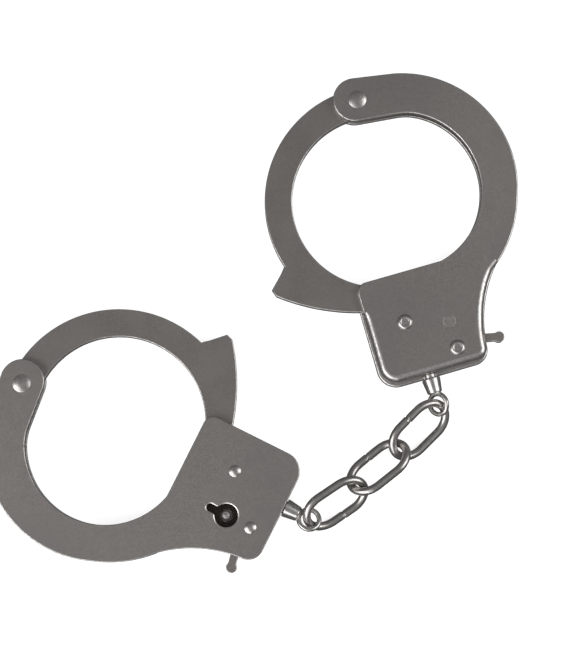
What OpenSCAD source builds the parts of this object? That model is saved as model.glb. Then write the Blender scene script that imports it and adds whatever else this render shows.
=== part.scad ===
// Pair of chain-linked swing-through handcuffs, lying flat as a pair.
// Every cuff is drawn once, in its own frame: origin on the pivot axis at the outer face of the
// flat cheek, +Z towards the formed cheek, -Y towards the swivel and +X towards the lever.

/* [Plates] */
// Thickness of each cheek plate
cheek_t = 2.0; // [1.2:0.1:2.4]
// Clear gap between the two cheek plates
gap = 4.0; // [3.8:0.1:4.4]
// Thickness of the swinging bow and of the pawl
bow_t = 3.6; // [3.0:0.1:3.7]

/* [Double strand] */
// Outer radius of the fixed arm
arm_r_out = 33.8; // [33:0.1:34.5]
// Inner radius of the fixed arm
arm_r_in = 23.35; // [22.8:0.05:24]
// Radius of the ear round the pivot
ear_r = 6.4; // [6.2:0.1:7]

/* [Bow] */
// Outer radius of the bow
bow_r_out = 34.4; // [33.6:0.1:34.6]
// Inner radius of the bow
bow_r_in = 25.1; // [24.2:0.1:25.4]
// Radius of the toothed edge about the pivot
tooth_r = 62.35; // [62:0.05:62.5]
// Depth of a ratchet tooth
tooth_depth = 0.8; // [0.5:0.05:1]
// Angle between two ratchet teeth
tooth_pitch = 2.25; // [2:0.05:2.5]

/* [Lock housing] */
// Distance from the pivot to the bottom edge of the housing
housing_reach = 84.05; // [83:0.05:85]
// Wall of the bent flange
flange_wall = 2.0; // [1.6:0.1:2.1]
// Step between the sides of the formed cheek and of the flat cheek
lip = 0.7; // [0.3:0.05:0.9]
// Step between the two cheeks at the housing's foot
foot_lip = 1.2; // [0.8:0.05:1.4]

/* [Fasteners] */
// Radius of the pivot rivet's shank
pivot_shank_r = 1.8; // [1.5:0.05:2]
// Radius of the shanks of the two housing rivets
rivet_shank_r = 1.3; // [1.1:0.05:1.4]
// Height of the rivet heads over the cheeks
head_h = 0.6; // [0.4:0.05:0.8]
// Running clearance of a hinge, on the radius
running = 0.05; // [0.02:0.01:0.1]

/* [Key post] */
// Radius of the post that the hollow key turns on
post_r = 1.16; // [1:0.02:1.3]
// Radius of the round part of the keyhole
keyhole_r = 3.35; // [3.2:0.05:3.5]
// Width of the keyhole's slot
keyhole_slot_w = 2.2; // [2:0.1:2.4]
// Reach of the slot from the post
keyhole_reach = 6.2; // [5.5:0.1:6.4]

/* [Chain] */
// Wire diameter of a link
link_wire = 2.45; // [2.2:0.05:2.5]
// Length of a link
link_l = 21.6; // [21:0.1:22]
// Width of a link
link_w = 12.6; // [12.2:0.1:13]
// Radius of the swivel eye at the middle of its wire
eye_r = 3.0; // [2.8:0.05:3.1]
// Wire radius of the swivel eye
eye_wire_r = 0.8; // [0.7:0.05:0.9]

/* [Hidden] */
$fn = 96;

stack = 2 * cheek_t + gap;
bow_z = cheek_t + (gap - bow_t) / 2;
mid_z = stack / 2;

// centres in the cuff's frame
arm_c_out = [5.4, -28.5];
arm_c_in = [4.8, -29.6];
bow_c_out = [-1.2, -30.6];
bow_c_in = [-2.4, -30.2];
stop_at = [-4.9, -66.6];
pawl_at = [7.7, -77.9];
post_at = [7.65, -70.1];
swivel_x = -2.0;

// key post's flush stud
stud_r = 1.75;
post_sink = 0.35;

// ear's centre, and the round end of the straight edge under it
ear_c = [-0.65, 0.2];
ear_run_c = [8.74, -22.24];
ear_run_r = 15;

// housing outline
housing_left = -16.4;
housing_top = -52.3;
housing_right = 27.2;
flank_c = [54.8, -82.4];
flank_r = 38.2;
shoulder_c = [3.0, -30.2];
shoulder_r = 35.5;
top_corner_r = 2.9;
left_corner_r = [5.8, 5.0];
right_corner_r = [4.6, 3.2];
flank_foot = flank_c[0] - flank_r;
bow_path_r = tooth_r + 0.45;

// bow
spur = [[-34.2, -41.3], [-35.6, -43.0], [-39.4, -46.8], [-38.7, -48.8]];
bow_ear_r = 6.1;
bow_tip_angle = 8.5;
first_tooth = -5;
last_tooth = 3;

// pawl
pawl_boss_r = 2.2;
pawl_engage = 2.3;
pawl_bite = 0.12;
lever_end = [20.4, -78.1];
lever_end_r = 1.6;
lever_w = 2.4;
lever_slot = [-80.1, -74.6];

// pawl spring
spring_t = 0.35;
spring_at = [-10.3, -76.9];
spring_r = 3.34;

// swivel
neck_r = 1.4;
collar_r = 1.9;
swivel_head_r = 1.9;
swivel_head_l = 1.5;
barrel_r = 2.7;
barrel_tip_r = 1.95;
eye_y = -92.0;
flange_foot = -housing_reach + foot_lip;
barrel_top = -housing_reach - 0.15;

// where the two cuffs and the links lie
cuff_a_at = [30.65, 65.0];
cuff_a_turn = 16;
cuff_b_at = [-66.79, -18.2];
cuff_b_turn = 63.5;
link_places = [
    [[48.47, -31.44, 3.82], 44.8, 30.5],
    [[36.64, -42.28, 4.21], 38.4, -35.4],
    [[24.19, -52.75, 4.30], 33.9, 37.0]
];
swivel_a_roll = -39.4;
swivel_b_roll = 19.1;
link_end_r = (link_w - link_wire) / 2;
link_straight = link_l - link_w;

formed_steel = "dimgray";
flat_steel = "slategray";
bow_steel = "gray";
bright_steel = "silver";
dark_nickel = "darkgray";

// ---- cuff parts, in the cuff's own frame ----

// removes the square corner at p, leaving a round one; sx, sy point from the corner into the plate
module round_corner(p, sx, sy, r, e) {
    c = [p[0] + sx * r, p[1] + sy * r];
    difference() {
        translate([min(p[0], c[0]) - 1 + (sx < 0 ? 1 : 0), min(p[1], c[1]) - 1 + (sy < 0 ? 1 : 0)])
            square(r + 1);
        translate(c) circle(r - e);
    }
}

// outline of the lock housing: the flat cheek's (kind 0) or the formed cheek's (kind 1), drawn in by e
module housing_2d(kind, e = 0) {
    side = kind * lip;
    left = housing_left + side;
    foot = -housing_reach + kind * foot_lip;
    difference() {
        polygon([
            [left + e, housing_top],
            [left + e, foot + e],
            [housing_right, foot + e],
            [26.8, -56.1],
            [29.0, -52.5],
            [24.0, -52.4],
            [11.6, -53.2],
            [10.2, housing_top]
        ]);
        translate(flank_c) circle(flank_r + side + e);
        round_corner([left, housing_top], 1, -1, top_corner_r, e);
        round_corner([left, foot], 1, 1, left_corner_r[kind], e);
        round_corner([flank_foot - side, foot], -1, 1, right_corner_r[kind], e);
    }
}

// a cheek's plate: the ear, its straight run into the fixed arm, the arm, the housing and the
// rounded shoulder between the arm and the housing's flank
module plate(kind) {
    linear_extrude(cheek_t) translate(ear_c) circle(ear_r);
    linear_extrude(cheek_t) difference() {
        polygon([
            [-1.29, -6.16], [-1, 0], [0.48, 6.5], [12.6, 4.45], [18, -6], [15.82, -9.02], [10.23, -7.31]
        ]);
        translate(ear_run_c) circle(ear_run_r);
    }
    linear_extrude(cheek_t) intersection() {
        difference() {
            translate(arm_c_out) circle(arm_r_out);
            translate(arm_c_in) circle(arm_r_in);
        }
        polygon([[0, 8], [42, 8], [42, -60], [10, -60], [10, -40], [0, -6]]);
    }
    linear_extrude(cheek_t) housing_2d(kind);
    linear_extrude(cheek_t) difference() {
        intersection() {
            translate(shoulder_c) circle(shoulder_r);
            translate([26, -57.5]) square([14, 16.2]);
        }
        translate(flank_c) circle(flank_r + kind * lip);
    }
}

// holes for the rivets, with one of radius post_hole_r at the key post
module cheek_holes(post_hole_r) {
    translate([0, 0, -1]) linear_extrude(cheek_t + 2) {
        circle(pivot_shank_r);
        translate(stop_at) circle(rivet_shank_r);
        translate(pawl_at) circle(rivet_shank_r);
        translate(post_at) circle(post_hole_r);
    }
}

module flat_cheek() {
    slot_l = keyhole_reach - keyhole_slot_w / 2;
    difference() {
        plate(0);
        cheek_holes(keyhole_r);
        translate([post_at[0], post_at[1], -1]) {
            translate([-keyhole_slot_w / 2, 0, 0]) cube([keyhole_slot_w, slot_l, cheek_t + 2]);
            translate([0, slot_l, 0]) cylinder(h = cheek_t + 2, r = keyhole_slot_w / 2);
        }
    }
}

module flange() {
    linear_extrude(gap + 0.5) difference() {
        housing_2d(1);
        housing_2d(1, flange_wall);
        circle(bow_path_r);
        translate([9.5, lever_slot[0]]) square([12, lever_slot[1] - lever_slot[0]]);
    }
}

module formed_cheek() {
    difference() {
        union() {
            translate([0, 0, cheek_t + gap]) plate(1);
            translate([0, 0, cheek_t]) flange();
        }
        translate([0, 0, cheek_t + gap]) cheek_holes(stud_r);
        translate([swivel_x, -housing_reach - 1, mid_z]) rotate([-90, 0, 0])
            cylinder(h = flange_wall + 3, r = neck_r + running);
    }
}

module key_post() {
    translate(post_at) {
        translate([0, 0, post_sink]) cylinder(h = stack - cheek_t - post_sink, r = post_r);
        translate([0, 0, stack - cheek_t]) cylinder(h = cheek_t, r = stud_r);
    }
}

// domed rivet head: a cap of height h over radius r, standing on z = 0
module dome(r, h) {
    sphere_r = (r * r + h * h) / (2 * h);
    intersection() {
        translate([0, 0, h - sphere_r]) sphere(sphere_r);
        cylinder(h = h, r = r);
    }
}

module rivet(shank_r, flat_head_r, formed_head_r, cup_r) {
    cylinder(h = stack, r = shank_r);
    mirror([0, 0, 1]) dome(flat_head_r, head_h);
    difference() {
        translate([0, 0, stack]) dome(formed_head_r, head_h);
        if (cup_r > 0) translate([0, 0, stack + head_h - 0.12]) cylinder(h = 1, r = cup_r);
    }
}

module pivot_rivet() { rivet(pivot_shank_r, 2.6, 2.6, 0); }

module stop_rivet() { translate(stop_at) rivet(rivet_shank_r, 1.75, 2.28, 1.15); }

module pawl_rivet() { translate(pawl_at) rivet(rivet_shank_r, 1.75, 2.28, 1.15); }

// a point of the cuff's frame, at radius r and a degrees past -Y
function past_down(r, a) = [r * sin(a), -r * cos(a)];

// one ratchet notch, its steep side towards the free tip
module notch(a) {
    root = tooth_r - tooth_depth;
    tip = tooth_r + 1;
    s = tooth_pitch / 2;
    polygon([
        past_down(tip, a - s),
        past_down(tooth_r, a - s + 0.3),
        past_down(root, a + s - 0.45),
        past_down(tip, a + s - 0.35)
    ]);
}

module bow_2d() {
    circle(bow_ear_r);
    intersection() {
        difference() {
            translate(bow_c_out) circle(bow_r_out);
            translate(bow_c_in) circle(bow_r_in);
        }
        polygon([[0, -4], [2.5, 5], [-45, 8], [-45, -46], spur[0], [-22, -40], [-4, -10]]);
    }
    intersection() {
        difference() {
            circle(tooth_r);
            translate(bow_c_in) circle(bow_r_in);
            for (i = [first_tooth:last_tooth]) notch(i * tooth_pitch);
        }
        polygon(concat([[-20, -38]], spur, [
            [-45, -66],
            [66 * sin(bow_tip_angle), -66],
            [40 * sin(bow_tip_angle), -40]
        ]));
    }
}

module bow() {
    translate([0, 0, bow_z]) linear_extrude(bow_t) difference() {
        bow_2d();
        circle(pivot_shank_r + running);
    }
}

// the pawl's teeth, drawn where they are when they hold the bow
module pawl_teeth_2d() {
    tip = tooth_r - tooth_depth + pawl_bite;
    root = tooth_r + pawl_bite;
    s = tooth_pitch / 2;
    polygon(concat(
        [past_down(66.2, -4.5 * tooth_pitch + 0.1), past_down(root, -4.5 * tooth_pitch + 0.1)],
        [for (i = [-4:-3]) each [
            past_down(root, i * tooth_pitch - s + 0.42),
            past_down(tip, i * tooth_pitch + s - 0.62),
            past_down(tip, i * tooth_pitch + s - 0.57),
            past_down(root, i * tooth_pitch + s - 0.5)
        ]],
        [past_down(root, -2.5 * tooth_pitch - 0.1), past_down(66.2, -2.5 * tooth_pitch - 0.3)]
    ));
}

module pawl() {
    translate([0, 0, bow_z]) difference() {
        union() {
            translate(pawl_at) rotate(pawl_engage) translate(-pawl_at) linear_extrude(bow_t) pawl_teeth_2d();
            linear_extrude(bow_t) polygon([
                [7.7, -75.7], [4.6, -75.0], [3.2, -73.2], [0.6, -71.3], [-2.6, -70.4], [-5.6, -69.4],
                [-7.3, -68.0], [-7.5, -65.0], [-10.6, -64.2], [-12.4, -66.4], [-12.4, -71.4],
                [-6.4, -75.45], [-0.6, -76.7], [4.2, -78.9], [7.7, -80.0]
            ]);
            translate(pawl_at) cylinder(h = bow_t, r = pawl_boss_r);
            linear_extrude(bow_t) polygon([
                [6.0, -76.6], [16.0, -75.9], [20.6, lever_end[1] + lever_w / 2],
                [20.6, lever_end[1] - lever_w / 2], [16.0, -78.3], [6.0, -79.2]
            ]);
            translate(lever_end) cylinder(h = bow_t, r = lever_end_r);
        }
        translate([pawl_at[0], pawl_at[1], -1]) cylinder(h = bow_t + 2, r = rivet_shank_r + running);
    }
}

// leaf spring, bent in an arc that lies in the flange's round corner and bears on the pawl
module pawl_spring() {
    translate([spring_at[0], spring_at[1], bow_z + 0.3])
        linear_extrude(bow_t - 0.6) difference() {
            circle(spring_r);
            circle(spring_r - spring_t);
            polygon([[0, 0], [9, 6], [9, -9], [-1, -9]]);
        }
}

// the swivel, with its neck in the flange; the eye faces along Z at no roll
module swivel(roll) {
    head_y = flange_foot + flange_wall + 0.25;
    barrel_l = barrel_top - eye_y - eye_r - 0.4;
    translate([swivel_x, 0, mid_z]) rotate([0, roll, 0]) {
        translate([0, head_y, 0]) rotate([-90, 0, 0]) cylinder(h = swivel_head_l, r = swivel_head_r);
        translate([0, barrel_top - 0.5, 0]) rotate([-90, 0, 0])
            cylinder(h = head_y - barrel_top + 1, r = neck_r);
        translate([0, barrel_top - 0.5, 0]) rotate([-90, 0, 0])
            cylinder(h = flange_foot - barrel_top + 0.4, r = collar_r);
        translate([0, barrel_top, 0]) rotate([90, 0, 0])
            cylinder(h = barrel_l, r1 = barrel_r, r2 = barrel_tip_r);
        translate([0, eye_y, 0]) rotate_extrude() translate([eye_r, 0]) circle(eye_wire_r, $fn = 48);
    }
}

module link(place) {
    translate(place[0]) rotate([place[2], 0, place[1]]) {
        for (s = [-1, 1]) {
            translate([s * link_straight / 2, 0, 0]) rotate(s * 90 - 180) rotate_extrude(angle = 180)
                translate([link_end_r, 0]) circle(link_wire / 2, $fn = 48);
            translate([-link_straight / 2, s * link_end_r, 0]) rotate([0, 90, 0])
                cylinder(h = link_straight, r = link_wire / 2, $fn = 48);
        }
    }
}

// ---- placing ----

// the first cuff lies with its formed cheek up
module place_a() {
    translate([cuff_a_at[0], cuff_a_at[1], head_h]) rotate(cuff_a_turn) children();
}

// the second is turned over, with its flat cheek up
module place_b() {
    translate([cuff_b_at[0], cuff_b_at[1], stack + head_h]) rotate(cuff_b_turn)
        rotate([0, 180, 0]) children();
}

module cuff_a_formed_cheek() { color(formed_steel) place_a() formed_cheek(); }
module cuff_a_flat_cheek() { color(flat_steel) place_a() flat_cheek(); }
module cuff_a_bow() { color(bow_steel) place_a() bow(); }
module cuff_a_pawl() { color(bright_steel) place_a() pawl(); }
module cuff_a_pawl_spring() { color(dark_nickel) place_a() pawl_spring(); }
module cuff_a_pivot_rivet() { color(bright_steel) place_a() pivot_rivet(); }
module cuff_a_stop_rivet() { color(bright_steel) place_a() stop_rivet(); }
module cuff_a_pawl_rivet() { color(bright_steel) place_a() pawl_rivet(); }
module cuff_a_key_post() { color(bright_steel) place_a() key_post(); }
module cuff_a_swivel() { color(bright_steel) place_a() swivel(swivel_a_roll); }
module cuff_b_formed_cheek() { color(formed_steel) place_b() formed_cheek(); }
module cuff_b_flat_cheek() { color(flat_steel) place_b() flat_cheek(); }
module cuff_b_bow() { color(bow_steel) place_b() bow(); }
module cuff_b_pawl() { color(bright_steel) place_b() pawl(); }
module cuff_b_pawl_spring() { color(dark_nickel) place_b() pawl_spring(); }
module cuff_b_pivot_rivet() { color(bright_steel) place_b() pivot_rivet(); }
module cuff_b_stop_rivet() { color(bright_steel) place_b() stop_rivet(); }
module cuff_b_pawl_rivet() { color(bright_steel) place_b() pawl_rivet(); }
module cuff_b_key_post() { color(bright_steel) place_b() key_post(); }
module cuff_b_swivel() { color(bright_steel) place_b() swivel(swivel_b_roll); }
module chain_link_1() { color(dark_nickel) link(link_places[0]); }
module chain_link_2() { color(dark_nickel) link(link_places[1]); }
module chain_link_3() { color(dark_nickel) link(link_places[2]); }

cuff_a_formed_cheek();
cuff_a_flat_cheek();
cuff_a_bow();
cuff_a_pawl();
cuff_a_pawl_spring();
cuff_a_pivot_rivet();
cuff_a_stop_rivet();
cuff_a_pawl_rivet();
cuff_a_key_post();
cuff_a_swivel();
cuff_b_formed_cheek();
cuff_b_flat_cheek();
cuff_b_bow();
cuff_b_pawl();
cuff_b_pawl_spring();
cuff_b_pivot_rivet();
cuff_b_stop_rivet();
cuff_b_pawl_rivet();
cuff_b_key_post();
cuff_b_swivel();
chain_link_1();
chain_link_2();
chain_link_3();
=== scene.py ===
"""Looks of a pair of chain-linked handcuffs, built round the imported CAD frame.

Each cuff is drawn in its own frame, in millimetres: origin on the pivot axis at the outer face of
the flat cheek, +Z towards the formed cheek, -Y towards the swivel, +X towards the lever.
"""

import math

import bmesh
import bpy
import numpy as np
from mathutils import Matrix, Vector


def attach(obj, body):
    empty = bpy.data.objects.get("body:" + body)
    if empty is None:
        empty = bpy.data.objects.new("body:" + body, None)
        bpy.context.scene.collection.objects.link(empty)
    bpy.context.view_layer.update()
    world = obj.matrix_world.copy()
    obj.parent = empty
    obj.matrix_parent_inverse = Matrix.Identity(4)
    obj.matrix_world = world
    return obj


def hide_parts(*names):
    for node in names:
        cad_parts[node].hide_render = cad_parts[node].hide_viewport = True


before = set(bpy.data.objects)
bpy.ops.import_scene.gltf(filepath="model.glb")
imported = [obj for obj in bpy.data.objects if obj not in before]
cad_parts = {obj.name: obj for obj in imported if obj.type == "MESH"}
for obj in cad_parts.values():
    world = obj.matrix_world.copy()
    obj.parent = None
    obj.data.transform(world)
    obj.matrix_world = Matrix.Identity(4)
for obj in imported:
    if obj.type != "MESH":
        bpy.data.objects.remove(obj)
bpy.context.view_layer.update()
MM = 0.001

# ---- sizes of the cuff, in millimetres ----
CHEEK_T = 2.0
GAP = 4.0
STACK = 2 * CHEEK_T + GAP
MID_Z = STACK / 2
BOW_Z = 2.2
BOW_T = 3.6
EAR, EAR_R, BOW_EAR_R = (-0.65, 0.2), 6.4, 6.1
EAR_OUT, OUTER_RUN_END = (0.48, 6.5), (12.6, 4.45)
EAR_IN, INNER_RUN_END, INNER_RUN_ARM = (-1.29, -6.16), (10.23, -7.31), (15.82, -9.02)
INNER_RUN, INNER_RUN_R = (8.74, -22.24), 15.0
ARM_OUT, ARM_OUT_R = (5.4, -28.5), 33.8
ARM_IN, ARM_IN_R = (4.8, -29.6), 23.35
BOW_OUT, BOW_OUT_R = (-1.2, -30.6), 34.4
BOW_IN, BOW_IN_R = (-2.4, -30.2), 25.1
TOOTH_R, TOOTH_DEPTH, TOOTH_PITCH = 62.35, 0.8, 2.25
BOW_TIP_ANGLE = 8.5
SPUR = [(-34.2, -41.3), (-35.6, -43.0), (-39.4, -46.8), (-38.7, -48.8)]
HOUSING_LEFT, HOUSING_TOP, HOUSING_BOTTOM = -16.4, -52.3, -84.05
FLANK, FLANK_R = (54.8, -82.4), 38.2
SHOULDER, SHOULDER_R = (3.0, -30.2), 35.5
NEAR_SHOULDER_TOP, NEAR_SHOULDER_FOOT = (36.7, -41.3), (26.6, -56.7)
LIP, FOOT_LIP, FLANGE_WALL = 0.7, 1.2, 2.0
LEFT_CORNER_R, RIGHT_CORNER_R, TOP_CORNER_R = (5.8, 5.0), (4.6, 3.2), 2.9
FLANGE_START_R = TOOTH_R + 0.45
LEVER_SLOT = (-80.1, -74.6)
PIVOT, STOP, PAWL, POST = (0.0, 0.0), (-4.9, -66.6), (7.7, -77.9), (7.65, -70.1)
PAWL_ENGAGE = 2.3
LEVER_END, LEVER_END_R = (20.4, -78.1), 1.6
KEYHOLE_R, KEYHOLE_SLOT_W, KEYHOLE_REACH = 3.35, 2.2, 6.2
STUD_R, POST_R = 1.75, 1.16
PIVOT_SHANK_R, PIVOT_HEAD_R = 1.8, 2.6
RIVET_SHANK_R, FLAT_HEAD_R, FORMED_HEAD_R = 1.3, 1.75, 2.28
HEAD_H, BRIM_H, DISH_R, DISH_DEPTH = 0.6, 0.08, 1.15, 0.12
FIT, TURNING_FIT = 0.02, 0.05
NECK_R, NECK_BORE_R, COLLAR_R, SWIVEL_HEAD_H = 1.4, 1.46, 1.9, 1.5
SWIVEL_X, EYE_Y, EYE_R, EYE_WIRE_R = -2.0, -92.0, 3.0, 0.72
SPRING, SPRING_R, SPRING_T = (-10.3, -76.9), 3.34, 0.35

# ---- sizes of a chain link ----
LINK_WIRE, LINK_L, LINK_W = 2.45, 21.6, 12.6
OVAL = 1.1        # how much a link's ends are drawn out into an oval
SEAM_JOG = 0.2    # how far the wire's two ends miss each other at the seam

# ---- edges ----
BEND_R, BEND_START_R = 1.8, 1.3
BEND_RUN_IN = 3.0
EDGE_R, LEDGE_R, FORMED_EDGE_R = 0.3, 0.65, 0.42
SMOOTH_LIMIT = math.radians(38)

# where each cuff lies
PLACE_A = Matrix.Translation((30.65, 65.0, 0.6)) @ Matrix.Rotation(math.radians(16), 4, "Z")
PLACE_B = (Matrix.Translation((-66.79, -18.2, 8.6)) @ Matrix.Rotation(math.radians(63.5), 4, "Z")
           @ Matrix.Rotation(math.pi, 4, "Y"))
CUFFS = {"a": PLACE_A, "b": PLACE_B}

# the side of each link that has its seam, and the seam's place along that side
SEAMS = [(1, -0.3), (1, -0.6), (-1, 0.15)]


# ---- places of the chain's pieces, read from the CAD frame ----

def node_points(node, place=Matrix()):
    """A CAD node's vertices in millimetres, as seen from a place."""
    back = place.inverted()
    return np.array([back @ (v.co / MM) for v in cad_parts[node].data.vertices])


def thin_and_long(points):
    """The directions in which points spread least, towards +Z, and most, towards +X."""
    directions = np.linalg.eigh(np.cov(points.T))[1]
    thin, long = directions[:, 0], directions[:, 2]
    return (thin if thin[2] > 0 else -thin), (long if long[0] > 0 else -long)


def link_place(node):
    """Where a link lies: its long sides run along X, and it faces Z."""
    points = node_points(node)
    centre = (points.min(axis=0) + points.max(axis=0)) / 2
    thin, long = thin_and_long(points)
    angle = math.atan2(long[1], long[0])
    tilt = math.asin(thin[0] * math.sin(angle) - thin[1] * math.cos(angle))
    return (Matrix.Translation(centre) @ Matrix.Rotation(angle, 4, "Z")
            @ Matrix.Rotation(tilt, 4, "X"))


def swivel_roll(node, place):
    """How far a swivel is turned in its housing, from the plane of its eye."""
    points = node_points(node, place)
    thin = thin_and_long(points[points[:, 1] < EYE_Y])[0]
    return math.atan2(thin[0], thin[2])


# ---- outlines in the plane of the plates ----

def sub(p, q):
    return (p[0] - q[0], p[1] - q[1])


def on_circle(c, r, degrees):
    return (c[0] + r * math.cos(math.radians(degrees)), c[1] + r * math.sin(math.radians(degrees)))


def angle_at(c, p):
    return math.degrees(math.atan2(p[1] - c[1], p[0] - c[0]))


def past_down(r, degrees):
    """A point at radius r from the pivot, so many degrees past -Y."""
    return (r * math.sin(math.radians(degrees)), -r * math.cos(math.radians(degrees)))


def circle_circle(c0, r0, c1, r1, near):
    """The crossing of two circles that is closest to a given point."""
    dx, dy = sub(c1, c0)
    d = math.hypot(dx, dy)
    a = (r0 * r0 - r1 * r1 + d * d) / (2 * d)
    h = math.sqrt(max(0.0, r0 * r0 - a * a))
    mx, my = c0[0] + a * dx / d, c0[1] + a * dy / d
    both = [(mx + s * h * dy / d, my - s * h * dx / d) for s in (-1, 1)]
    return min(both, key=lambda p: math.dist(p, near))


def line_circle(p, q, c, r, near):
    """The crossing of the line through p and q with a circle, closest to a given point."""
    dx, dy = sub(q, p)
    fx, fy = sub(p, c)
    a, b = dx * dx + dy * dy, 2 * (fx * dx + fy * dy)
    root = math.sqrt(max(0.0, b * b - 4 * a * (fx * fx + fy * fy - r * r)))
    both = [(p[0] + t * dx, p[1] + t * dy) for t in ((-b - root) / (2 * a), (-b + root) / (2 * a))]
    return min(both, key=lambda s: math.dist(s, near))


def arc(c, r, start, end, way):
    """Points along a circle from start to end; way is 1 for counter-clockwise, -1 for clockwise."""
    a0, a1 = angle_at(c, start), angle_at(c, end)
    turn = (a1 - a0) % 360 if way > 0 else -((a0 - a1) % 360)
    step = min(0.5, max(0.12, r * 0.07))
    n = max(3, math.ceil(abs(math.radians(turn)) * r / step))
    return [on_circle(c, r, a0 + turn * i / n) for i in range(n + 1)]


def hole(c, r, n=64):
    """A round hole's loop, clockwise, so that the metal is on its left."""
    return [on_circle(c, r, -360 * i / n) for i in range(n)]


def path(*parts):
    """Joins lists of points and single points into one loop without doubled points."""
    points = []
    for part in parts:
        for p in (part if isinstance(part, list) else [part]):
            if not points or math.dist(points[-1], p) > 1e-3:
                points.append(p)
    if math.dist(points[0], points[-1]) <= 1e-3:
        points.pop()
    return points


def plate_outline(kind):
    """The outline of the flat cheek (kind 0) or the formed cheek (kind 1), counter-clockwise."""
    left, bottom = HOUSING_LEFT + kind * LIP, HOUSING_BOTTOM + kind * FOOT_LIP
    flank_r = FLANK_R + kind * LIP
    shoulder = circle_circle(ARM_OUT, ARM_OUT_R, SHOULDER, SHOULDER_R, NEAR_SHOULDER_TOP)
    flank_top = circle_circle(FLANK, flank_r, SHOULDER, SHOULDER_R, NEAR_SHOULDER_FOOT)
    left_r, right_r, top_r = LEFT_CORNER_R[kind], RIGHT_CORNER_R[kind], TOP_CORNER_R
    left_c = (left + left_r, bottom + left_r)
    foot_height = bottom + right_r
    flank_foot = (FLANK[0] - math.sqrt(flank_r ** 2 - (foot_height - FLANK[1]) ** 2), foot_height)
    right_c = (flank_foot[0] - right_r, foot_height)
    top_c = (left + top_r, HOUSING_TOP - top_r)
    inner_foot = (ARM_IN[0] + math.sqrt(ARM_IN_R ** 2 - (HOUSING_TOP - ARM_IN[1]) ** 2), HOUSING_TOP)
    return path(
        arc(EAR, EAR_R, EAR_OUT, EAR_IN, 1),
        arc(INNER_RUN, INNER_RUN_R, INNER_RUN_END, INNER_RUN_ARM, -1),
        arc(ARM_IN, ARM_IN_R, INNER_RUN_ARM, inner_foot, -1),
        arc(top_c, top_r, (top_c[0], HOUSING_TOP), (left, top_c[1]), 1),
        arc(left_c, left_r, (left, left_c[1]), (left_c[0], bottom), 1),
        arc(right_c, right_r, (right_c[0], bottom), flank_foot, 1),
        arc(FLANK, flank_r, flank_foot, flank_top, -1),
        arc(SHOULDER, SHOULDER_R, flank_top, shoulder, 1),
        arc(ARM_OUT, ARM_OUT_R, shoulder, OUTER_RUN_END, 1),
    )


def bow_outline():
    """The bow's outline, counter-clockwise, and the places of its ratchet notches in it."""
    ear_out = circle_circle(PIVOT, BOW_EAR_R, BOW_OUT, BOW_OUT_R, (-5.4, 3.0))
    ear_in = circle_circle(PIVOT, BOW_EAR_R, BOW_IN, BOW_IN_R, (-3.9, -5.4))
    spur_top = line_circle(SPUR[0], (-20.0, -38.0), BOW_OUT, BOW_OUT_R, (-33.7, -41.2))
    heel = line_circle(SPUR[3], (-45.0, -66.0), PIVOT, TOOTH_R, SPUR[3])
    tip_top = (40 * math.sin(math.radians(BOW_TIP_ANGLE)), -40.0)
    tip_low = (66 * math.sin(math.radians(BOW_TIP_ANGLE)), -66.0)
    tip_out = line_circle(tip_top, tip_low, PIVOT, TOOTH_R, (9.1, -61.7))
    tip_in = line_circle(tip_top, tip_low, BOW_IN, BOW_IN_R, (7.8, -52.8))
    half, root = TOOTH_PITCH / 2, TOOTH_R - TOOTH_DEPTH
    teeth = []
    for i in range(-5, 4):
        a = i * TOOTH_PITCH
        teeth += [past_down(TOOTH_R, a - half + 0.3), past_down(root, a + half - 0.45),
                  past_down(TOOTH_R, a + half - 0.4)]
    return path(
        arc(PIVOT, BOW_EAR_R, ear_in, ear_out, 1),
        arc(BOW_OUT, BOW_OUT_R, ear_out, spur_top, 1),
        list(SPUR),
        arc(PIVOT, TOOTH_R, heel, teeth[0], 1),
        teeth,
        tip_out, tip_in,
        arc(BOW_IN, BOW_IN_R, tip_in, ear_in, -1),
    )


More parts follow.
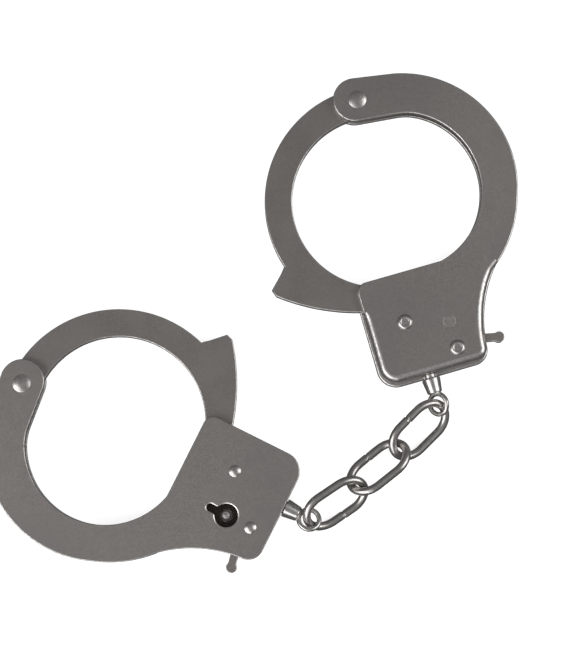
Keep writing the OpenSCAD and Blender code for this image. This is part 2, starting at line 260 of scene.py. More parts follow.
def pawl_outline():
    """The pawl's outline, counter-clockwise: hook, two teeth, boss and finger lever."""
    half, tip, root = TOOTH_PITCH / 2, TOOTH_R - TOOTH_DEPTH + 0.12, TOOTH_R + 0.12
    c, s = math.cos(math.radians(PAWL_ENGAGE)), math.sin(math.radians(PAWL_ENGAGE))

    def held(r, a):
        x, y = sub(past_down(r, a), PAWL)
        return (PAWL[0] + c * x - s * y, PAWL[1] + s * x + c * y)

    teeth = [held(66.2, -2.5 * TOOTH_PITCH - 0.3), held(root, -2.5 * TOOTH_PITCH - 0.1)]
    for i in (-3, -4):
        a = i * TOOTH_PITCH
        teeth += [held(root, a + half - 0.5), held(tip, a + half - 0.57),
                  held(tip, a + half - 0.62), held(root, a - half + 0.42)]
    teeth += [held(root, -4.5 * TOOTH_PITCH + 0.1)]
    boss_low, boss_high = (7.7, -80.1), (7.7, -75.7)
    lever_low = line_circle((6.0, -79.2), (16.0, -78.3), PAWL, 2.2, (9.7, -78.9))
    lever_high = line_circle((6.0, -76.6), (16.0, -75.9), PAWL, 2.2, (9.3, -76.4))
    end_low = line_circle((16.0, -78.3), (20.6, -79.3), LEVER_END, LEVER_END_R, (19.4, -79.0))
    end_high = line_circle((16.0, -75.9), (20.6, -76.9), LEVER_END, LEVER_END_R, (19.4, -76.6))
    return path(
        arc(PAWL, 2.2, boss_low, lever_low, 1), (16.0, -78.3),
        arc(LEVER_END, LEVER_END_R, end_low, end_high, 1), (16.0, -75.9),
        arc(PAWL, 2.2, lever_high, boss_high, 1),
        [(4.6, -75.0), (3.2, -73.2), (0.6, -71.3), (-2.6, -70.4), (-5.6, -69.4), (-7.3, -68.0)],
        teeth,
        [(-12.0, -65.9), (-12.4, -66.4), (-12.4, -71.4), (-6.4, -75.45), (-0.6, -76.7),
         (4.2, -78.9), (7.0, -79.9)],
    )


# ---- solids ----

def left_normals(loop):
    """At each point of a loop, the direction into the metal, longer where a corner needs it."""
    normals = []
    n = len(loop)
    for i in range(n):
        a, b, c = loop[i - 1], loop[i], loop[(i + 1) % n]
        u, v = Vector(sub(b, a)).normalized(), Vector(sub(c, b)).normalized()
        m = (Vector((-u.y, u.x)) + Vector((-v.y, v.x))).normalized()
        normals.append(m / max(0.6, m.dot(Vector((-v.y, v.x)))))
    return normals


def rounded_rings(r, top, bottom, steps=4, low_r=None):
    """(inset, height) down an edge, with radius r at its top and low_r, or the same, at its bottom."""
    low_r = low_r or r
    quarter = [math.radians(90 * k / steps) for k in range(steps + 1)]
    down = [(r * (1 - math.sin(t)), top - r * (1 - math.cos(t))) for t in quarter]
    up = [(low_r * (1 - math.sin(t)), bottom + low_r * (1 - math.cos(t))) for t in reversed(quarter)]
    return [(r + 0.04, top)] + down + up + [(low_r + 0.04, bottom)]


def slab(loops, shade_below=False):
    """A plate as a bmesh. Each loop is (points, rings), with one list of (inset, height) a point.
    A true last argument marks the underside, which is the inside of the lock, to be painted dark as painted
    shade."""
    bm = bmesh.new()
    edge = bm.verts.layers.float.new("edge")
    inside_shade = bm.verts.layers.float.new("inside_shade")
    caps = ([], [])
    for points, rings in loops:
        normals = left_normals(points)
        count = len(rings[0])
        rows = []
        for k in range(count):
            row = []
            for p, m, profile in zip(points, normals, rings):
                inset, z = profile[k]
                v = bm.verts.new((p[0] + m.x * inset, p[1] + m.y * inset, z))
                v[edge] = 0.0 if k in (0, count - 1) else 1.0
                # The underside's last ring is marked for the painted shade inside the lock.
                v[inside_shade] = 1.0 if shade_below and k == count - 1 else 0.0
                row.append(v)
            rows.append(row)
        n = len(points)
        for k in range(count - 1):
            for i in range(n):
                j = (i + 1) % n
                bm.faces.new((rows[k][i], rows[k + 1][i], rows[k + 1][j], rows[k][j]))
        for cap, row in zip(caps, (rows[0], rows[-1])):
            for i in range(n):
                cap.append(bm.edges.get((row[i], row[(i + 1) % n])))
    for cap, z in zip(caps, (1.0, -1.0)):
        bmesh.ops.triangle_fill(bm, use_beauty=True, edges=cap, normal=(0, 0, z))
    bmesh.ops.recalc_face_normals(bm, faces=bm.faces)
    return bm


def even(loop, rings):
    """The same edge profile all round a loop."""
    return (loop, [rings] * len(loop))


def lathe(profile, segments=96):
    """A closed solid of revolution about Z from (radius, height, edge) points, ending on the axis."""
    bm = bmesh.new()
    edge = bm.verts.layers.float.new("edge")
    rows = []
    for r, z, e in profile:
        if r < 1e-6:
            row = [bm.verts.new((0, 0, z))] * segments
        else:
            row = [bm.verts.new((*on_circle((0, 0), r, 360 * i / segments), z))
                   for i in range(segments)]
        for v in row:
            v[edge] = e
        rows.append(row)
    for low, high in zip(rows, rows[1:]):
        for i in range(segments):
            j = (i + 1) % segments
            corners = list(dict.fromkeys((low[i], low[j], high[j], high[i])))
            if len(corners) > 2:
                bm.faces.new(corners)
    bmesh.ops.recalc_face_normals(bm, faces=bm.faces)
    return bm


def tube(points, frames, radii, segments=40):
    """A closed tube through points, each with its own pair of cross directions and radius."""
    bm = bmesh.new()
    edge = bm.verts.layers.float.new("edge")
    rows = []
    for p, (u, v), r in zip(points, frames, radii):
        row = []
        for i in range(segments):
            a = 2 * math.pi * i / segments
            row.append(bm.verts.new(p + (u * math.cos(a) + v * math.sin(a)) * r))
            row[-1][edge] = 0.0
        rows.append(row)
    for k in range(len(rows)):
        low, high = rows[k], rows[(k + 1) % len(rows)]
        for i in range(segments):
            j = (i + 1) % segments
            bm.faces.new((low[i], low[j], high[j], high[i]))
    bmesh.ops.recalc_face_normals(bm, faces=bm.faces)
    return bm


def add_piece(name, bm, place, material, body, node):
    """Puts a bmesh made in millimetres in place as a piece that stands for a CAD node."""
    bm.transform(Matrix.Scale(MM, 4) @ place)
    bmesh.ops.recalc_face_normals(bm, faces=bm.faces)
    mesh = bpy.data.meshes.new(name)
    bm.to_mesh(mesh)
    bm.free()
    for polygon in mesh.polygons:
        polygon.use_smooth = True
    mesh.set_sharp_from_angle(angle=SMOOTH_LIMIT)
    obj = bpy.data.objects.new(name, mesh)
    bpy.context.scene.collection.objects.link(obj)
    mesh.materials.append(material)
    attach(obj, body)
    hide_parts(node)
    return obj


def weigh_normals(obj):
    """Keeps broad flat faces flat beside their rounded edges."""
    mod = obj.modifiers.new("flat_faces", "WEIGHTED_NORMAL")
    mod.keep_sharp = True
    mod.weight = 100


# ---- the cuff's pieces ----

def rivet_holes(r_post):
    """(centre, radius) of the holes through a cheek."""
    small = RIVET_SHANK_R + FIT
    return [(PIVOT, PIVOT_SHANK_R + FIT), (STOP, small), (PAWL, small), (POST, r_post)]


def keyhole_loop():
    """The keyhole's outline, clockwise: a round hole for the key's barrel and a slot for its bit."""
    half, end = KEYHOLE_SLOT_W / 2, KEYHOLE_REACH - KEYHOLE_SLOT_W / 2
    x, y = POST
    rise = math.sqrt(KEYHOLE_R ** 2 - half ** 2)
    right, left = (x + half, y + rise), (x - half, y + rise)
    corner = 0.3
    round_part = arc(POST, KEYHOLE_R, right, left, -1)
    slot_end = arc((x, y + end), half, (x - half, y + end), (x + half, y + end), -1)
    return path(round_part[1:-1], (x - half, y + rise + corner), slot_end,
                (x + half, y + rise + corner))


def bend_share(p):
    """0 where the flange begins, rising to 1 a short way into the housing."""
    return min(1.0, max(0.0, (math.hypot(*p) - FLANGE_START_R) / BEND_RUN_IN))


def flat_cheek():
    """The flat cheek, with its keyhole; its ledge outside the flange has a larger rounding."""
    outline = plate_outline(0)
    rings = []
    for p in outline:
        r = EDGE_R + (LEDGE_R - EDGE_R) * bend_share(p)
        rings.append(rounded_rings(r, CHEEK_T, 0, 5, EDGE_R))
    loops = [(outline, rings)]
    for c, r in rivet_holes(0)[:3]:
        loops.append(even(hole(c, r), rounded_rings(0.1, CHEEK_T, 0, 2)))
    keyhole = [(0.34, CHEEK_T), (0.3, CHEEK_T), (0.08, CHEEK_T - 0.08), (0.0, CHEEK_T - 0.3),
               (0.0, 0.5), (0.1, 0.16), (0.4, 0.0), (0.44, 0.0)]
    loops.append(even(keyhole_loop(), keyhole))
    return slab(loops)


def edge_kind(p):
    """How the formed cheek's edge is made at a point of its outline: plain, flange or slot."""
    if math.hypot(*p) <= FLANGE_START_R:
        return "plain"
    return "slot" if p[0] > 9.5 and LEVER_SLOT[0] < p[1] < LEVER_SLOT[1] else "flange"


def formed_rings(p):
    """The edge profile of the formed cheek: a plain edge, a bent flange, or a bend over the slot."""
    kind = edge_kind(p)
    r = FORMED_EDGE_R
    if kind != "plain":
        r = BEND_START_R + (BEND_R - BEND_START_R) * math.sin(bend_share(p) * math.pi / 2)
    steps = 8
    rings = [(r + 0.04, STACK)]
    for k in range(steps + 1):
        t = math.radians(90 * k / steps)
        rings.append((r * (1 - math.sin(t)), STACK - r * (1 - math.cos(t))))
    high = STACK - CHEEK_T
    if kind == "flange":
        z = CHEEK_T + 0.05
        return rings + [(0, z + 0.25), (0.07, z + 0.07), (0.25, z), (1.75, z),
                        (1.93, z + 0.07), (2.0, z + 0.25), (2.05, high - 0.5), (2.3, high)]
    lift = 0.25 if kind == "plain" else 0.1
    return rings + [(0, high + lift), (0.07, high + lift * 0.3), (0.25, high), (1.75, high),
                    (1.9, high), (2.0, high), (2.05, high), (2.3, high)]


def split_at_flange(loop):
    """Puts a close pair of points wherever the flange begins or ends."""
    points = []
    for i, p in enumerate(loop):
        points.append(p)
        q = loop[(i + 1) % len(loop)]
        if edge_kind(p) != edge_kind(q):
            lo, hi = 0.0, 1.0
            for _ in range(40):
                mid = (lo + hi) / 2
                m = (p[0] + (q[0] - p[0]) * mid, p[1] + (q[1] - p[1]) * mid)
                lo, hi = (mid, hi) if edge_kind(m) == edge_kind(p) else (lo, mid)
            step = 0.012 / math.dist(p, q)
            for t in (lo - step, hi + step):
                points.append((p[0] + (q[0] - p[0]) * t, p[1] + (q[1] - p[1]) * t))
    return points


def subdivide(loop, step):
    """Adds points along the long straight stretches of a loop."""
    points = []
    for i, p in enumerate(loop):
        q = loop[(i + 1) % len(loop)]
        n = max(1, math.ceil(math.dist(p, q) / step))
        points += [(p[0] + (q[0] - p[0]) * k / n, p[1] + (q[1] - p[1]) * k / n) for k in range(n)]
    return points


def formed_cheek():
    """The formed cheek with its bent flange, before the swivel's bore."""
    loop = split_at_flange(subdivide(plate_outline(1), 1.2))
    loops = [(loop, [formed_rings(p) for p in loop])]
    low = STACK - CHEEK_T
    for c, r in rivet_holes(STUD_R + FIT):
        loops.append(even(hole(c, r), rounded_rings(0.08, STACK, low, 2)))
    # The underside, inside the lock, is marked for painted shade.
    return slab(loops, shade_below=True)


def bore_flange(obj, place):
    """Bores the hole for the swivel's neck through the flange."""
    bm = bmesh.new()
    axis = Matrix.Translation((SWIVEL_X, HOUSING_BOTTOM, MID_Z)) @ Matrix.Rotation(math.pi / 2, 4, "X")
    bmesh.ops.create_cone(bm, cap_ends=True, segments=64, radius1=NECK_BORE_R, radius2=NECK_BORE_R, depth=8,
                          matrix=Matrix.Scale(MM, 4) @ place @ axis)
    cutter_mesh = bpy.data.meshes.new("cutter")
    bm.to_mesh(cutter_mesh)
    bm.free()
    cutter = bpy.data.objects.new("cutter", cutter_mesh)
    bpy.context.scene.collection.objects.link(cutter)
    mod = obj.modifiers.new("bore", "BOOLEAN")
    mod.operation = "DIFFERENCE"
    mod.solver = "EXACT"
    mod.object = cutter
    bake_modifiers(obj)
    bpy.data.objects.remove(cutter)
    bpy.data.meshes.remove(cutter_mesh)
    obj.data.set_sharp_from_angle(angle=SMOOTH_LIMIT)


def bake_modifiers(obj):
    """Applies an object's modifiers to its mesh."""
    bpy.context.view_layer.update()
    graph = bpy.context.evaluated_depsgraph_get()
    mesh = bpy.data.meshes.new_from_object(obj.evaluated_get(graph), depsgraph=graph)
    obj.modifiers.clear()
    old = obj.data
    name = old.name
    obj.data = mesh
    bpy.data.meshes.remove(old)
    mesh.name = name


def bow():
    """The swinging arm; its teeth keep crisp edges."""
    loop = bow_outline()
    rings = []
    for p in loop:
        at_teeth = math.hypot(*p) > 60 and -15 < math.degrees(math.atan2(p[0], -p[1])) < 8.6
        rings.append(rounded_rings(0.06 if at_teeth else EDGE_R, BOW_Z + BOW_T, BOW_Z))
    bore = hole(PIVOT, PIVOT_SHANK_R + TURNING_FIT)
    return slab([(loop, rings), even(bore, rounded_rings(0.1, BOW_Z + BOW_T, BOW_Z))])


def pawl():
    """The pawl with its finger lever; its teeth keep crisp edges."""
    loop = pawl_outline()
    rings = []
    for p in loop:
        at_teeth = p[1] > -66.5
        rings.append(rounded_rings(0.02 if at_teeth else 0.22, BOW_Z + BOW_T, BOW_Z))
    bore = hole(PAWL, RIVET_SHANK_R + TURNING_FIT)
    return slab([(loop, rings), even(bore, rounded_rings(0.1, BOW_Z + BOW_T, BOW_Z))])


def head_profile(shank_r, head_r, z, out, dish_r, dish):
    """(radius, height, edge) from a rivet's shank, over its head, to the axis; out is 1 for up."""
    h, brim = HEAD_H, BRIM_H
    rows = [(shank_r, z, 0.0), (head_r - 0.1, z + out * 0.005, 0.5),
            (head_r - 0.02, z + out * 0.03, 1.0)]
    crown = dish_r + 0.2 if dish_r else 0.0
    sphere_r = (head_r ** 2 + (h - brim) ** 2) / (2 * (h - brim))
    for k in range(15):
        t = k / 14
        r = head_r + (crown - head_r) * t
        if dish_r:
            rise = brim + (h - brim) * math.sin(math.pi / 2 * t)
        else:
            rise = h - sphere_r + math.sqrt(sphere_r ** 2 - r * r)
        rows.append((r, z + out * rise, 0.7 - 0.7 * t))
    if dish_r:
        for r, sink, e in ((dish_r + 0.08, 0.03, 1.0), (dish_r - 0.08, dish * 0.8, 0.4),
                           (dish_r - 0.3, dish, 0.0)):
            rows.append((r, z + out * (h - sink), e))
        rows.append((0.0, z + out * (h - dish * 0.9), 0.0))
    return rows


def rivet(shank_r, flat_head, formed_head):
    """A rivet along Z; each head is (radius, dish radius, dish depth)."""
    low = head_profile(shank_r, flat_head[0], 0.0, -1, *flat_head[1:])
    high = head_profile(shank_r, formed_head[0], STACK, 1, *formed_head[1:])
    return lathe(list(reversed(low)) + high)


def key_post():
    """The post for a hollow key, with the flush stud that holds it in the formed cheek."""
    low, seat = STACK - CHEEK_T, STACK
    rows = [
        (0.0, 0.36, 0.0), (0.72, 0.36, 0.0), (0.78, 0.40, 0.4), (0.84, 0.36, 0.6),
        (POST_R - 0.08, 0.38, 1.0), (POST_R, 0.6, 0.5), (POST_R, low, 0.0), (STUD_R - 0.1, low, 0.2),
        (STUD_R, low + 0.1, 0.0), (STUD_R, seat - 0.09, 0.5), (STUD_R - 0.03, seat - 0.03, 1.0),
        (STUD_R - 0.09, seat - 0.012, 0.7), (STUD_R - 0.25, seat - 0.01, 0.2), (0.0, seat - 0.01, 0.0),
    ]
    return lathe(rows)


def swivel_body():
    """The swivel's head, neck, collar and tapered barrel, turned about Z with the eye end down."""
    head = HOUSING_BOTTOM + FOOT_LIP + FLANGE_WALL + 0.25
    collar = HOUSING_BOTTOM + FOOT_LIP - 0.1
    top, tip = HOUSING_BOTTOM - 0.15, EYE_Y + EYE_R + 0.35
    crown = head + SWIVEL_HEAD_H
    rows = [
        (0.0, crown), (1.7, crown), (1.9, crown - 0.2), (1.9, head + 0.1), (1.8, head), (NECK_R, head),
        (NECK_R, collar), (COLLAR_R - 0.08, collar), (COLLAR_R, collar - 0.08), (COLLAR_R, top),
        (2.5, top), (2.66, top - 0.06), (2.7, top - 0.22), (2.68, top - 0.7), (2.45, top - 2.4),
        (2.2, tip + 0.3), (2.15, tip + 0.1), (2.02, tip), (0.0, tip),
    ]
    return lathe([(r, y, 0.0) for r, y in rows], 64)


def swivel():
    """The swivel with its eye, as one bmesh of two closed forms that a remesh melts together."""
    bm = swivel_body()
    bm.transform(Matrix.Rotation(-math.pi / 2, 4, "X"))
    n = 72
    points, frames = [], []
    for i in range(n):
        d = Vector((*on_circle((0, 0), 1.0, 360 * i / n), 0))
        points.append(Vector((0, EYE_Y, 0)) + d * EYE_R)
        frames.append((d, Vector((0, 0, 1))))
    ring = tube(points, frames, [EYE_WIRE_R] * n, 32)
    mesh = bpy.data.meshes.new("eye")
    ring.to_mesh(mesh)
    ring.free()
    bm.from_mesh(mesh)
    bpy.data.meshes.remove(mesh)
    return bm


def melt(obj, voxel, passes):
    """Joins the closed forms of an object into one skin, with a soft fillet where they meet."""
    remesh = obj.modifiers.new("melt", "REMESH")
    remesh.mode = "VOXEL"
    remesh.voxel_size = voxel * MM
    remesh.use_smooth_shade = True
    smooth = obj.modifiers.new("fillet", "SMOOTH")
    smooth.factor = 0.5
    smooth.iterations = passes
    bake_modifiers(obj)


def link(seam_side, seam_at):
    """A chain link bent from round wire, with its butt seam in the middle of a long side."""
    r = (LINK_W - LINK_WIRE) / 2
    half, reach = (LINK_L - LINK_W) / 2 - OVAL, r + OVAL
    points, frames, radii = [], [], []

    def add(p, d, radius=LINK_WIRE / 2):
        points.append(Vector((*p, 0)))
        frames.append((Vector((*d, 0)).normalized(), Vector((0, 0, 1))))
        radii.append(radius)

    groove = [(-0.8, 0), (-0.3, 0.01), (-0.19, 0.05), (-0.1, 0.2), (0.1, 0.2), (0.19, 0.05),
              (0.3, 0.01), (0.8, 0)]
    for side in (1, -1):
        for i in range(36):
            c, d = on_circle((0, 0), 1.0, -90 * side + 180 * i / 36)
            add((side * half + c * reach, d * r), (c / reach, d / r))
        xs = [side * half * (1 - i / 5) for i in range(10)]
        if seam_side == side:
            rows = [(x, 0.0) for x in xs if abs(x - seam_at) > 0.9]
            rows += [(seam_at + dx, depth) for dx, depth in groove]
        else:
            rows = [(x, 0.0) for x in xs]
        rows.sort(key=lambda row: -side * row[0])
        for x, depth in rows:
            jog = SEAM_JOG * math.exp(-abs(x - seam_at) / 1.2) if seam_side == side else 0.0
            add((x, side * r - math.copysign(jog, x - seam_at) / 2), (0, side), LINK_WIRE / 2 - depth)
    return tube(points, frames, radii, 48)


def spring():
    """The pawl's leaf spring, an arc of strip with rounded edges."""
    c, r, t = SPRING, SPRING_R, SPRING_T
    start, end = on_circle(c, r, 35), on_circle(c, r, 260)
    inner = [on_circle(c, r - t, angle_at(c, p)) for p in arc(c, r, start, end, 1)]
    loop = path(arc(c, r, start, end, 1), list(reversed(inner)))
    return slab([even(loop, rounded_rings(0.08, BOW_Z + BOW_T - 0.3, BOW_Z + 0.3, 3))])


# ---- materials ----

class Metal:
    """A metal's node tree, with short names for the nodes that the finishes share."""

    def __init__(self, name):
        self.material = bpy.data.materials.new(name)
        self.material.use_nodes = True
        self.tree = self.material.node_tree
        self.bsdf = self.tree.nodes["Principled BSDF"]
        self.bsdf.inputs["Metallic"].default_value = 1.0
        self.coords = self.tree.nodes.new("ShaderNodeTexCoord").outputs["Object"]

    def noise(self, size, detail=2.0, rough=0.5, stretch=(1, 1, 1)):
        """Noise whose features are about so many millimetres across."""
        mapping = self.tree.nodes.new("ShaderNodeMapping")
        mapping.inputs["Scale"].default_value = stretch
        node = self.tree.nodes.new("ShaderNodeTexNoise")
        node.inputs["Scale"].default_value = 1 / (size * MM)
        node.inputs["Detail"].default_value = detail
        node.inputs["Roughness"].default_value = rough
        self.tree.links.new(self.coords, mapping.inputs["Vector"])
        self.tree.links.new(mapping.outputs["Vector"], node.inputs["Vector"])
        return node.outputs["Fac"]

    def remap(self, value, low, high, to_low, to_high):
        node = self.tree.nodes.new("ShaderNodeMapRange")
        for name, number in zip(("From Min", "From Max", "To Min", "To Max"), (low, high, to_low, to_high)):
            node.inputs[name].default_value = number
        self.tree.links.new(value, node.inputs["Value"])
        return node.outputs["Result"]

    def math(self, operation, a, b):
        node = self.tree.nodes.new("ShaderNodeMath")
        node.operation = operation
        node.use_clamp = True
        for value, socket in zip((a, b), node.inputs):
            if isinstance(value, (int, float)):
                socket.default_value = value
            else:
                self.tree.links.new(value, socket)
        return node.outputs["Value"]

    def mask(self, name):
        """An attribute of the mesh: edge is 1 on rounded edges; the shade mask is 1 on the underside inside
        the lock, which is painted dark as painted shade.
        """
        node = self.tree.nodes.new("ShaderNodeAttribute")
        node.attribute_name = name
        return node.outputs["Fac"]

    def mix(self, factor, a, b):
        node = self.tree.nodes.new("ShaderNodeMix")
        node.data_type = "RGBA"
        self.tree.links.new(factor, node.inputs["Factor"])
        for value, socket in zip((a, b), (node.inputs[6], node.inputs[7])):
            if isinstance(value, tuple):
                socket.default_value = (*value, 1)
            else:
                self.tree.links.new(value, socket)
        return node.outputs[2]

    def bump(self, *layers):
        """Stacks (height, depth in millimetres) layers of bump."""
        normal = None
        for height, depth in layers:
            node = self.tree.nodes.new("ShaderNodeBump")
            node.inputs["Distance"].default_value = depth * MM
            self.tree.links.new(height, node.inputs["Height"])
            if normal is not None:
                self.tree.links.new(normal, node.inputs["Normal"])
            normal = node.outputs["Normal"]
        self.tree.links.new(normal, self.bsdf.inputs["Normal"])

    def colour(self, value):
        self.tree.links.new(value, self.bsdf.inputs["Base Color"])

    def roughness(self, value):
        self.tree.links.new(value, self.bsdf.inputs["Roughness"])


def satin_plate():
    """Tumbled, nickel-plated sheet steel: fine grain, mottling, faint stains, edges lightened partly as
    rubbed plating and partly as a painted highlight, and the inside of the lock painted near-black as
    painted shade.
    """
    m = Metal("satin_plate")
    grain = m.noise(0.34, 3.0, 0.6)
    mottle = m.noise(1.5, 5.0, 0.7)
    patches = m.noise(12.0, 2.0)
    stains = m.noise(24.0, 4.0, 0.6)
    scuffs = m.remap(m.noise(1.0, 6.0, 0.75, (1, 0.2, 1)), 0.62, 0.72, 0.0, 0.35)
    specks = m.remap(m.noise(0.55, 2.0, 0.5), 0.66, 0.74, 0.0, 0.35)
    tone = m.mix(m.remap(grain, 0.3, 0.7, 0.0, 1.0), (0.385, 0.354, 0.335), (0.56, 0.516, 0.492))
    tone = m.mix(m.remap(mottle, 0.35, 0.65, 0.0, 0.4), tone, (0.36, 0.333, 0.318))
    tone = m.mix(m.remap(patches, 0.35, 0.65, 0.0, 0.5), tone, (0.52, 0.485, 0.462))
    tone = m.mix(m.remap(stains, 0.4, 0.62, 0.0, 0.55), tone, (0.36, 0.349, 0.345))
    tone = m.mix(scuffs, tone, (0.60, 0.585, 0.565))
    tone = m.mix(specks, tone, (0.26, 0.248, 0.24))
    # Rounded edges lightened with noise: partly rubbed plating, partly a painted highlight.
    rub_and_highlight = m.math("MULTIPLY", m.mask("edge"), m.remap(m.noise(0.8, 4.0, 0.6), 0.36, 0.6, 0.35, 1.0))
    tone = m.mix(rub_and_highlight, tone, (0.76, 0.74, 0.715))
    # Painted shade: the underside inside the lock is painted near-black.
    m.colour(m.mix(m.mask("inside_shade"), tone, (0.10, 0.085, 0.07)))
    worn = m.math("SUBTRACT", m.remap(grain, 0.3, 0.7, 0.35, 0.46), m.math("MULTIPLY", rub_and_highlight, 0.1))
    m.roughness(m.math("ADD", worn, m.remap(mottle, 0.3, 0.7, 0.0, 0.05)))
    m.bump((grain, 0.010), (mottle, 0.012))
    return m.material


def satin_bow():
    """The bow's and pawl's thicker steel, a little coarser and darker than the cheeks; its edges are
    lightened partly as rubbed steel and partly as a painted highlight.
    """
    m = Metal("satin_bow")
    grain = m.noise(0.4, 3.0, 0.6)
    mottle = m.noise(1.3, 5.0, 0.7)
    patches = m.noise(9.0, 2.0)
    specks = m.remap(m.noise(0.5, 2.0, 0.5), 0.64, 0.74, 0.0, 0.4)
    tone = m.mix(m.remap(grain, 0.3, 0.7, 0.0, 1.0), (0.35, 0.321, 0.303), (0.515, 0.474, 0.453))
    tone = m.mix(m.remap(mottle, 0.35, 0.65, 0.0, 0.45), tone, (0.34, 0.314, 0.298))
    tone = m.mix(m.remap(patches, 0.35, 0.65, 0.0, 0.5), tone, (0.49, 0.458, 0.435))
    tone = m.mix(specks, tone, (0.245, 0.232, 0.223))
    # Rounded edges lightened with noise: partly rubbed steel, partly a painted highlight.
    rub_and_highlight = m.math("MULTIPLY", m.mask("edge"), m.remap(m.noise(0.7, 4.0, 0.6), 0.36, 0.6, 0.3, 1.0))
    m.colour(m.mix(rub_and_highlight, tone, (0.74, 0.72, 0.695)))
    m.roughness(m.math("SUBTRACT", m.remap(grain, 0.3, 0.7, 0.35, 0.47), m.math("MULTIPLY", rub_and_highlight, 0.1)))
    m.bump((grain, 0.012), (mottle, 0.014))
    return m.material


def bright_nickel(name, base, rough):
    """Bright nickel on turned and headed parts, with fine marks from the tool."""
    m = Metal(name)
    fine = m.noise(0.22, 3.0, 0.6)
    marks = m.noise(0.9, 4.0, 0.6)
    dark = tuple(c * 0.82 for c in base)
    m.colour(m.mix(m.remap(marks, 0.35, 0.65, 0.0, 1.0), dark, base))
    m.roughness(m.remap(fine, 0.3, 0.7, rough * 0.85, rough * 1.25))
    m.bump((fine, 0.0015), (marks, 0.008))
    return m.material


def chain_nickel():
    """Glossy dark nickel over drawn wire, with faint draw marks and darker spots."""
    m = Metal("chain_nickel")
    fine = m.noise(0.25, 3.0, 0.6)
    spots = m.noise(1.1, 5.0, 0.65)
    tone = m.mix(m.remap(spots, 0.35, 0.65, 0.0, 1.0), (0.54, 0.52, 0.50), (0.68, 0.66, 0.637))
    m.colour(tone)
    m.roughness(m.remap(fine, 0.3, 0.7, 0.28, 0.36))
    m.bump((fine, 0.002), (spots, 0.012))
    return m.material


def spring_steel():
    """Blued spring strip with lengthwise grain."""
    m = Metal("spring_steel")
    grain = m.noise(0.3, 4.0, 0.6, (1, 1, 0.2))
    m.colour(m.mix(grain, (0.20, 0.21, 0.24), (0.33, 0.33, 0.35)))
    m.roughness(m.remap(grain, 0.3, 0.7, 0.28, 0.42))
    m.bump((grain, 0.008))
    return m.material


PLATE = satin_plate()
BOW = satin_bow()
RIVET = bright_nickel("rivet_nickel", (0.68, 0.65, 0.625), 0.31)
POST_METAL = bright_nickel("post_steel", (0.50, 0.47, 0.45), 0.45)
SWIVEL = bright_nickel("swivel_nickel", (0.72, 0.70, 0.675), 0.29)
CHAIN = chain_nickel()
SPRING_STEEL = spring_steel()


# ---- building the pieces ----

def build_cuff(side):
    place = CUFFS[side]
    cuff = f"cuff_{side}"
    housing = f"{cuff}_housing"

    def add(part, bm, material, body, slot, local=Matrix()):
        return add_piece(f"{part}_{side}", bm, place @ local, material, body, f"{cuff}_{part}")

    formed = add("formed_cheek", formed_cheek(), PLATE, housing, "plate_steel")
    bore_flange(formed, place)
    flat = add("flat_cheek", flat_cheek(), PLATE, housing, "plate_steel")
    swinging = add("bow", bow(), BOW, f"{cuff}_bow", "plate_steel")
    lever = add("pawl", pawl(), BOW, f"{cuff}_pawl", "lever_steel")
    for obj in (formed, flat, swinging, lever):
        weigh_normals(obj)
    add("pawl_spring", spring(), SPRING_STEEL, housing, "spring_steel")
    dome = (PIVOT_HEAD_R, 0, 0)
    add("pivot_rivet", rivet(PIVOT_SHANK_R, dome, dome), RIVET, housing, "rivet_nickel")
    for part, at in (("stop_rivet", STOP), ("pawl_rivet", PAWL)):
        head = rivet(RIVET_SHANK_R, (FLAT_HEAD_R, 0, 0), (FORMED_HEAD_R, DISH_R, DISH_DEPTH))
        add(part, head, RIVET, housing, "rivet_nickel", Matrix.Translation((*at, 0)))
    add("key_post", key_post(), POST_METAL, housing, "post_steel", Matrix.Translation((*POST, 0)))
    roll = swivel_roll(f"{cuff}_swivel", place)
    turned = Matrix.Translation((SWIVEL_X, 0, MID_Z)) @ Matrix.Rotation(roll, 4, "Y")
    melt(add("swivel", swivel(), SWIVEL, f"{cuff}_swivel", "swivel_nickel", turned), 0.11, 4)


def build_chain():
    for i, (seam_side, seam_at) in enumerate(SEAMS, 1):
        node = f"chain_link_{i}"
        add_piece(f"link_{i}", link(seam_side, seam_at), link_place(node), CHAIN, f"link_{i}",
                  node)


build_cuff("a")
build_cuff("b")
build_chain()


# ---- floor, light and camera ----

def add_floor():
    """A plain white sweep that gives back enough light to stay white under the pair."""
    mesh = bpy.data.meshes.new("floor")
    s = 3.0
    mesh.from_pydata([(-s, -s, 0), (s, -s, 0), (s, s, 0), (-s, s, 0)], [], [(0, 1, 2, 3)])
    floor = bpy.data.objects.new("floor", mesh)
    bpy.context.scene.collection.objects.link(floor)
    material = bpy.data.materials.new("floor_paper")
    material.use_nodes = True
    bsdf = material.node_tree.nodes["Principled BSDF"]
    bsdf.inputs["Base Color"].default_value = (0.93, 0.93, 0.93, 1)
    bsdf.inputs["Roughness"].default_value = 0.9
    bsdf.inputs["Specular IOR Level"].default_value = 0.1
    bsdf.inputs["Emission Color"].default_value = (1, 1, 1, 1)
    bsdf.inputs["Emission Strength"].default_value = 0.78
    mesh.materials.append(material)
    floor.location.z = -0.0002
    floor.visible_glossy = False


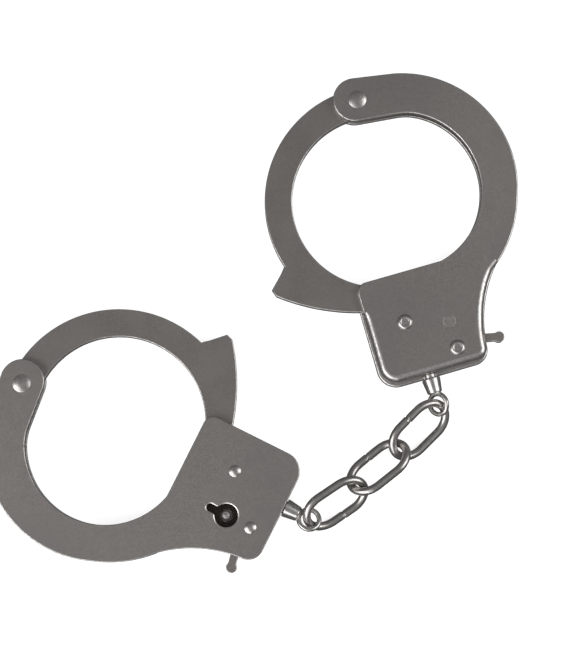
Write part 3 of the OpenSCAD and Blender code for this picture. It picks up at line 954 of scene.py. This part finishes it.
def add_sky():
    """A dim studio room, a little lighter overhead; the light comes from the softboxes."""
    world = bpy.data.worlds.new("studio")
    bpy.context.scene.world = world
    world.use_nodes = True
    tree = world.node_tree
    coords = tree.nodes.new("ShaderNodeTexCoord").outputs["Generated"]
    split = tree.nodes.new("ShaderNodeSeparateXYZ")
    ramp = tree.nodes.new("ShaderNodeValToRGB")
    tree.links.new(coords, split.inputs[0])
    height = tree.nodes.new("ShaderNodeMapRange")
    height.inputs["From Min"].default_value = -1
    tree.links.new(split.outputs["Z"], height.inputs["Value"])
    tree.links.new(height.outputs["Result"], ramp.inputs["Fac"])
    stops = [(0.0, 0.12), (0.45, 0.10), (0.55, 0.10), (0.85, 0.16), (1.0, 0.22)]
    ramp.color_ramp.elements[0].position, ramp.color_ramp.elements[1].position = 0.0, 1.0
    for position, _ in stops[1:-1]:
        ramp.color_ramp.elements.new(position)
    for element, (_, grey) in zip(ramp.color_ramp.elements, stops):
        element.color = (grey, grey, grey, 1)
    tree.links.new(ramp.outputs["Color"], tree.nodes["Background"].inputs["Color"])
    tree.nodes["Background"].inputs["Strength"].default_value = 1.0


def add_softbox(name, place, size, watts):
    data = bpy.data.lights.new(name, "AREA")
    data.shape = "RECTANGLE"
    data.size, data.size_y = size
    data.energy = watts
    light = bpy.data.objects.new(name, data)
    bpy.context.scene.collection.objects.link(light)
    light.location = place
    light.rotation_euler = (-Vector(place)).to_track_quat("-Z", "Y").to_euler()


def add_camera():
    """Looks down on the pair from 5 degrees off the vertical, at the upper faces' height."""
    target = Vector((9.5, -4.15, 8.6)) * MM
    distance, elevation = 0.7, math.radians(85)
    half_view = 82.65 * MM
    data = bpy.data.cameras.new("camera")
    data.sensor_fit = "HORIZONTAL"
    data.sensor_width = 36
    data.lens = data.sensor_width / 2 / (half_view / distance)
    data.clip_start = 0.05
    camera = bpy.data.objects.new("camera", data)
    bpy.context.scene.collection.objects.link(camera)
    camera.location = target + Vector((0, -math.cos(elevation), math.sin(elevation))) * distance
    camera.rotation_euler = (math.pi / 2 - elevation, 0, 0)
    bpy.context.scene.camera = camera


add_floor()
add_sky()
for softbox in (
    ("front_left", (-0.95, -0.65, 1.05), (1.0, 0.9), 8.8),
    ("front", (-0.3, -1.25, 0.9), (0.9, 0.5), 4.0),
    ("right", (1.2, 0.05, 0.95), (0.9, 1.1), 7.3),
):
    add_softbox(*softbox)
add_camera()
bpy.context.scene.view_settings.view_transform = "Standard"
